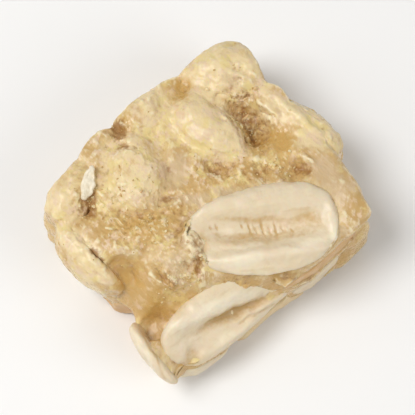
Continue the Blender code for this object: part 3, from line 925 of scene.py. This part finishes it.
def open_nut_frame(nut):
    """The place and turn of an open nut, from its own frame to the piece's."""
    tilt = Euler((math.radians(nut.roll), math.radians(nut.pitch), 0.0)).to_matrix().to_4x4()
    place = Matrix.Translation(Vector((nut.x, nut.y, nut.z)) * MM + FACE_MIDDLE)
    return np.array(place @ Matrix.Rotation(math.radians(nut.heading), 4, "Z") @ tilt)


def in_nut_frame(points, nut):
    """Points in the frame of an open nut."""
    frame_of_nut = open_nut_frame(nut)
    return (points - frame_of_nut[:3, 3]) @ frame_of_nut[:3, :3]


def wear_open_face(skin, nut):
    """Raises and sinks the marks of a nut's open flat face, in the nut's own frame."""
    frame_of_nut = open_nut_frame(nut)
    turn = frame_of_nut[:3, :3]
    local = in_nut_frame(skin.points, nut)
    facing = smoothstep(0.2, 0.7, skin.normals() @ turn[:, 2])
    local[:, 2] += relief_height(wavered(local), Vector(), nut.marks) * facing
    skin.points = local @ turn.T + frame_of_nut[:3, 3]


def stain_and_highlight_share(points, node):
    """How strongly a nut is stained at each point. Below 0 it is paler than the rest: a painted highlight on
    the lobes and rims, and a pale spot elsewhere.
    """
    share = np.zeros(len(points))
    for stain in EDGE_STAINS_AND_HIGHLIGHTS.get(node, ()):
        share += stain.rise * np.exp(-SOFTNESS * oval_reach(wavered(points), FACE_MIDDLE, stain))
    if node in OPEN_NUTS:
        local = in_nut_frame(points, OPEN_NUTS[node])
        ragged = wavered(local)
        for stain in OPEN_NUTS[node].stains:
            share += stain.rise * np.exp(-SOFTNESS * oval_reach(ragged, Vector(), stain))
        share *= smoothstep(-1.6 * MM, -0.8 * MM, local[:, 2])
    return share


def fibres_of(points):
    """Fine streaks that run along a nut, as values from about -1 to 1."""
    middle = points.mean(axis=0)
    length_way = np.linalg.svd((points - middle)[::7], full_matrices=False)[2]
    local = (points - middle) @ length_way.T
    return noise_at(local * np.array([0.12, 1.0, 1.0]), 0.34 * MM, 2.2, 2)


def nut_mesh(node, settings, fine):
    """A nut's solid with its facets evened into a round skin, wrinkled, and its cuts kept flat."""
    body = cad_solid(node)
    mesh = remeshed(mesh_of(body, node + "_solid"), settings.coarse_face)
    skin = Skin(mesh)
    cut = cut_share(skin, node)
    before = skin.points.copy()
    skin.smooth(settings.evening, 0.5 * (1.0 - 0.85 * cut))
    lost = np.einsum("ij,ij->i", before - skin.points, skin.normals())
    skin.points += skin.normals() * (np.maximum(lost.mean(), 0.0))
    skin.write()
    mesh = modified(mesh, "SUBSURF", levels=int(fine), render_levels=int(fine))
    skin = Skin(mesh)
    if node in OPEN_NUTS:
        wear_open_face(skin, OPEN_NUTS[node])
    elif BARE.get(node, 0.0) < 0.6:
        sink_face(skin)
    fibre = fibres_of(skin.points)
    wrinkles = noise_at(skin.points, 1.4 * MM, 4.4, 3) * settings.wrinkle
    skin.points += skin.normals() * (wrinkles + fibre * settings.wrinkle * 0.25)[:, None]
    keep_in_box(skin.points)
    skin.points[:, 2] = np.maximum(skin.points[:, 2], FLOOR_GAP)
    # Measures of the hollows and creases, from which the flesh's painted shade and highlight are drawn.
    skin.paint("hollow", skin.hollow(50 if fine else 14, 0.36 * MM))
    skin.paint("crease", skin.hollow(8 if fine else 3, 0.08 * MM))
    skin.paint("fibre", fibre)
    skin.paint("stain", stain_and_highlight_share(skin.points, node))
    skin.write()
    return mesh


def nut_nodes():
    return sorted(name for name in frame["nodes"] if name != "sugar")


def slot_of(node):
    """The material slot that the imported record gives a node."""
    return next(p["material_slot"] for p in frame["record"]["subparts"] if p["node"] == node)


class BRITTLE_OT_nuts(Operator):
    """Make every split peanut from its solid"""

    bl_idname = "brittle.nuts"
    bl_label = "Split peanuts"

    def execute(self, context):
        settings = context.scene.brittle_nuts
        materials = {finish: nut_material(settings, finish) for finish in ("pale", "golden", "roasted")}
        for node in nut_nodes():
            finish = slot_of(node)
            mesh = nut_mesh(node, settings, node in BARE)
            piece = finished_piece(mesh, node + "_flesh", materials[finish], [node])
            piece["nut"] = node
        return {"FINISHED"}


def nut_pieces():
    return [o for o in bpy.context.scene.objects if "nut" in o]


class BRITTLE_OT_sugar(Operator):
    """Pour the cooked sugar round the nuts and roughen it"""

    bl_idname = "brittle.sugar"
    bl_label = "Cooked sugar"

    def execute(self, context):
        settings = context.scene.brittle_sugar
        pieces = nut_pieces()
        if not pieces:
            raise RuntimeError("make the nuts first, as the sugar lies round them")
        mesh = filled_block(settings, nut_nodes())
        skin = Skin(mesh)
        skin.smooth(3, 0.5)
        skin.write()
        refine_face(mesh)
        skin = Skin(mesh)
        side = smoothstep(0.6, 0.25, skin.normals()[:, 2])
        for _ in range(3):
            side = skin.neighbour_mean(side)
        sunk = sink_face(skin)
        gap, to_sugar, bare = seat_on_nuts(skin, settings, pieces)
        crack_round_nuts(skin, settings, gap, to_sugar, bare)
        fill_valleys(skin, sunk)
        skin.relax(16)
        skin.smooth(2, 0.5)
        skin.points[:, 2] += np.maximum(face_relief(skin), 0.0)
        roughen(skin, settings, side)
        keep_in_box(skin.points)
        whole, _ = joined([piece.data for piece in pieces])
        cover = nearest(tree_of(whole), skin.points)[2]
        skin.paint("thin", smoothstep(1.6 * MM, 0.15 * MM, cover))
        # Measures of the hollows and creases, from which the material paints shade and highlight.
        skin.paint("hollow", skin.hollow(60, 0.4 * MM))
        skin.paint("crease", skin.hollow(6, 0.06 * MM))
        skin.paint("side", side)
        swaying = swayed(skin.points)
        for finish in PAINTED:
            skin.paint(finish, finish_share(swaying, finish))
        skin.write()
        finished_piece(mesh, "sugar_set", sugar_material(settings), ["sugar"])
        return {"FINISHED"}


def ball(levels):
    """Corners and triangles of a ball of that fineness, one unit across."""
    body = bmesh.new()
    bmesh.ops.create_icosphere(body, subdivisions=levels, radius=0.5)
    corners = np.array([v.co for v in body.verts])
    triangles = np.array([[v.index for v in f.verts] for f in body.faces])
    body.free()
    return corners, triangles


def random_turns(rng, count):
    """As many random rotations."""
    return np.array([Quaternion(row).normalized().to_matrix() for row in rng.normal(size=(count, 4))])


def stones_mesh(places, normals, sizes, fineness, lift, rng):
    """Uneven stones at those places, joined as one mesh. Each has a tint of its own."""
    corners, triangles = ball(fineness)
    count = len(places)
    uneven = 1.0 + rng.uniform(-0.22, 0.22, (count, len(corners), 1))
    stretch = rng.uniform((0.9, 0.65, 0.55), (1.5, 1.0, 0.85), (count, 3))[:, None, :]
    shapes = corners[None] * uneven * stretch * sizes[:, None, None]
    shapes = np.einsum("nij,nkj->nki", random_turns(rng, count), shapes)
    middles = places + normals * (sizes * lift)[:, None]
    points = (shapes + middles[:, None, :]).reshape(-1, 3)
    faces = (triangles[None] + (np.arange(count) * len(corners))[:, None, None]).reshape(-1, 3)
    mesh = bpy.data.meshes.new("stones")
    mesh.from_pydata(points.tolist(), [], faces.tolist())
    tint = mesh.attributes.new("tint", "FLOAT", "POINT")
    tint.data.foreach_set("value", np.repeat(rng.random(count), len(corners)).astype(np.float32))
    return mesh


def chip_mesh(place):
    """A thin pointed flake of nut, lying on its side."""
    body = bmesh.new()
    bmesh.ops.create_icosphere(body, subdivisions=5, radius=0.5)
    mesh = mesh_of(body, "white_chip")
    skin = Skin(mesh)
    along = skin.points[:, 0].copy()
    skin.points[:, 1] *= 1.0 - 0.5 * along - 0.7 * along**2
    skin.points[:, 2] = np.minimum(skin.points[:, 2], 0.3)
    skin.points *= np.array(CHIP_SIZE)
    skin.points += skin.normals() * (noise_at(skin.points, 0.8 * MM, 1.1, 3) * 0.2 * MM)[:, None]
    skin.points = skin.points @ np.array(CHIP_TURN.to_matrix()).T + place
    skin.write()
    return mesh


class BRITTLE_OT_grains(Operator):
    """Scatter the sugar grains and the nut crumbs over the sugar, and lay the white chip"""

    bl_idname = "brittle.grains"
    bl_label = "Grains, crumbs and chip"

    def execute(self, context):
        settings = context.scene.brittle_crumbs
        rng = np.random.default_rng(settings.seed)
        skin = Skin(bpy.data.objects["sugar_set"].data)
        normals = skin.normals()
        upward = smoothstep(0.1, 0.6, normals[:, 2]) * (skin.points[:, 2] > 4.5 * MM)
        grainy = finish_share(swayed(skin.points), "grainy")
        clumps = smoothstep(-0.2, 0.5, noise_at(skin.points, 1.3 * MM, 6.1, 2))
        weights = upward * (0.01 + grainy**1.3) * (0.05 + clumps)
        mesh = self.scattered(skin, normals, weights, settings.grains, settings.grain_size, 1, -0.15, rng)
        material = stone_material("frosty_grain", settings.grain_light, settings.grain_dark, 0.3)
        finished_piece(mesh, "sugar_grains", material)
        mesh.shade_flat()
        weights = upward * (0.01 + grainy**2) * (0.1 + clumps)
        mesh = self.scattered(skin, normals, weights, settings.crumbs, settings.crumb_size, 2, -0.1, rng)
        material = stone_material("nut_crumb", settings.crumb_light, settings.crumb_dark, 0.5)
        finished_piece(mesh, "nut_crumbs", material)
        mesh.shade_flat()
        self.add_chip(context.scene.brittle_nuts, skin)
        return {"FINISHED"}

    def add_chip(self, settings, skin):
        """Lays the white chip on the sugar."""
        across = np.hypot(skin.points[:, 0] - CHIP_PLACE.x, skin.points[:, 1] - CHIP_PLACE.y)
        ground = skin.points[(across < 1.2 * MM) & (skin.points[:, 2] > 6.0 * MM), 2].mean()
        mesh = chip_mesh(np.array((CHIP_PLACE.x, CHIP_PLACE.y, ground + 0.1 * MM)))
        paint = Paint("chip_flesh")
        shade = paint.lumps(0.5 * MM, 3.0, 0.6).between(0.35, 0.75)
        colour = paint.mix(shade * 0.5, settings.chip, settings.pale)
        normal = paint.bump(shade, 0.04 * MM, 0.5)
        material = paint.principled(Base_Color=colour, Roughness=0.5, Normal=normal)
        finished_piece(mesh, "white_chip", material)

    def scattered(self, skin, normals, weights, count, size, fineness, lift, rng):
        """A mesh of stones on points of the sugar that are drawn by weight."""
        picks = rng.choice(len(weights), size=count, p=weights / weights.sum())
        sizes = size * rng.uniform(0.5, 1.4, count)
        return stones_mesh(skin.points[picks], normals[picks], sizes, fineness, lift, rng)


class BRITTLE_OT_stage(Operator):
    """Set up the floor, the soft lights and the camera"""

    bl_idname = "brittle.stage"
    bl_label = "Stage"

    def execute(self, context):
        settings = context.scene.brittle_stage
        low, high = CAD_BOX
        middle = (low + high) / 2
        self.add_floor(settings)
        for name, light in LIGHTS.items():
            self.add_light(name, *light, middle)
        self.add_world()
        self.add_camera(settings, middle)
        context.scene.view_settings.view_transform = "Standard"
        return {"FINISHED"}

    def add_floor(self, settings):
        body = bmesh.new()
        bmesh.ops.create_grid(body, x_segments=1, y_segments=1, size=1.5)
        floor = placed("floor", mesh_of(body, "floor"))
        paint = Paint("floor_paper")
        floor.data.materials.append(paint.principled(Base_Color=(*settings.floor, 1.0), Roughness=0.85))

    def add_light(self, name, place, size, power, target):
        lamp = bpy.data.lights.new(name, "AREA")
        lamp.shape = "DISK"
        lamp.size = size
        lamp.energy = power
        light = placed(name, lamp)
        light.location = place
        light.rotation_euler = (target - light.location).to_track_quat("-Z", "Y").to_euler()

    def add_world(self):
        world = bpy.data.worlds.new("studio")
        world.use_nodes = True
        background = world.node_tree.nodes["Background"]
        background.inputs["Color"].default_value = WORLD_COLOUR
        background.inputs["Strength"].default_value = WORLD_STRENGTH
        bpy.context.scene.world = world

    def add_camera(self, settings, middle):
        data = bpy.data.cameras.new("camera")
        data.lens = settings.lens
        data.clip_start = 0.01
        data.clip_end = 10.0
        camera = placed("camera", data)
        turn, rise = settings.azimuth, settings.elevation
        back = Vector((math.sin(turn) * math.cos(rise), -math.cos(turn) * math.cos(rise), math.sin(rise)))
        distance = settings.view_width * settings.lens / data.sensor_width
        camera.location = middle + back * distance
        camera.rotation_mode = "QUATERNION"
        camera.rotation_quaternion = (-back).to_track_quat("-Z", "Y")
        bpy.context.scene.camera = camera


class BRITTLE_PT_panel(Panel):
    """Lists the makers of the pieces"""

    bl_idname = "BRITTLE_PT_panel"
    bl_label = "Nut brittle piece"
    bl_space_type = "VIEW_3D"
    bl_region_type = "UI"
    bl_category = "Brittle"

    def draw(self, context):
        for settings_name, maker in zip(SETTINGS, MAKERS):
            box = self.layout.box()
            settings = getattr(context.scene, settings_name)
            for key in settings.bl_rna.properties.keys():
                if key not in ("rna_type", "name"):
                    box.prop(settings, key)
            box.operator(maker.bl_idname)


SETTINGS = {
    "brittle_nuts": BrittleNutSettings,
    "brittle_sugar": BrittleSugarSettings,
    "brittle_crumbs": BrittleCrumbSettings,
    "brittle_stage": BrittleStageSettings,
}
MAKERS = [BRITTLE_OT_nuts, BRITTLE_OT_sugar, BRITTLE_OT_grains, BRITTLE_OT_stage]
CLASSES = [*SETTINGS.values(), *MAKERS, BRITTLE_PT_panel]


def register():
    for made in CLASSES:
        bpy.utils.register_class(made)
    for name, group in SETTINGS.items():
        setattr(bpy.types.Scene, name, PointerProperty(type=group))


def unregister():
    for name in SETTINGS:
        delattr(bpy.types.Scene, name)
    for made in reversed(CLASSES):
        bpy.utils.unregister_class(made)


def main():
    register()
    bpy.ops.brittle.nuts()
    bpy.ops.brittle.sugar()
    bpy.ops.brittle.grains()
    bpy.ops.brittle.stage()


if __name__ == "__main__":
    main()
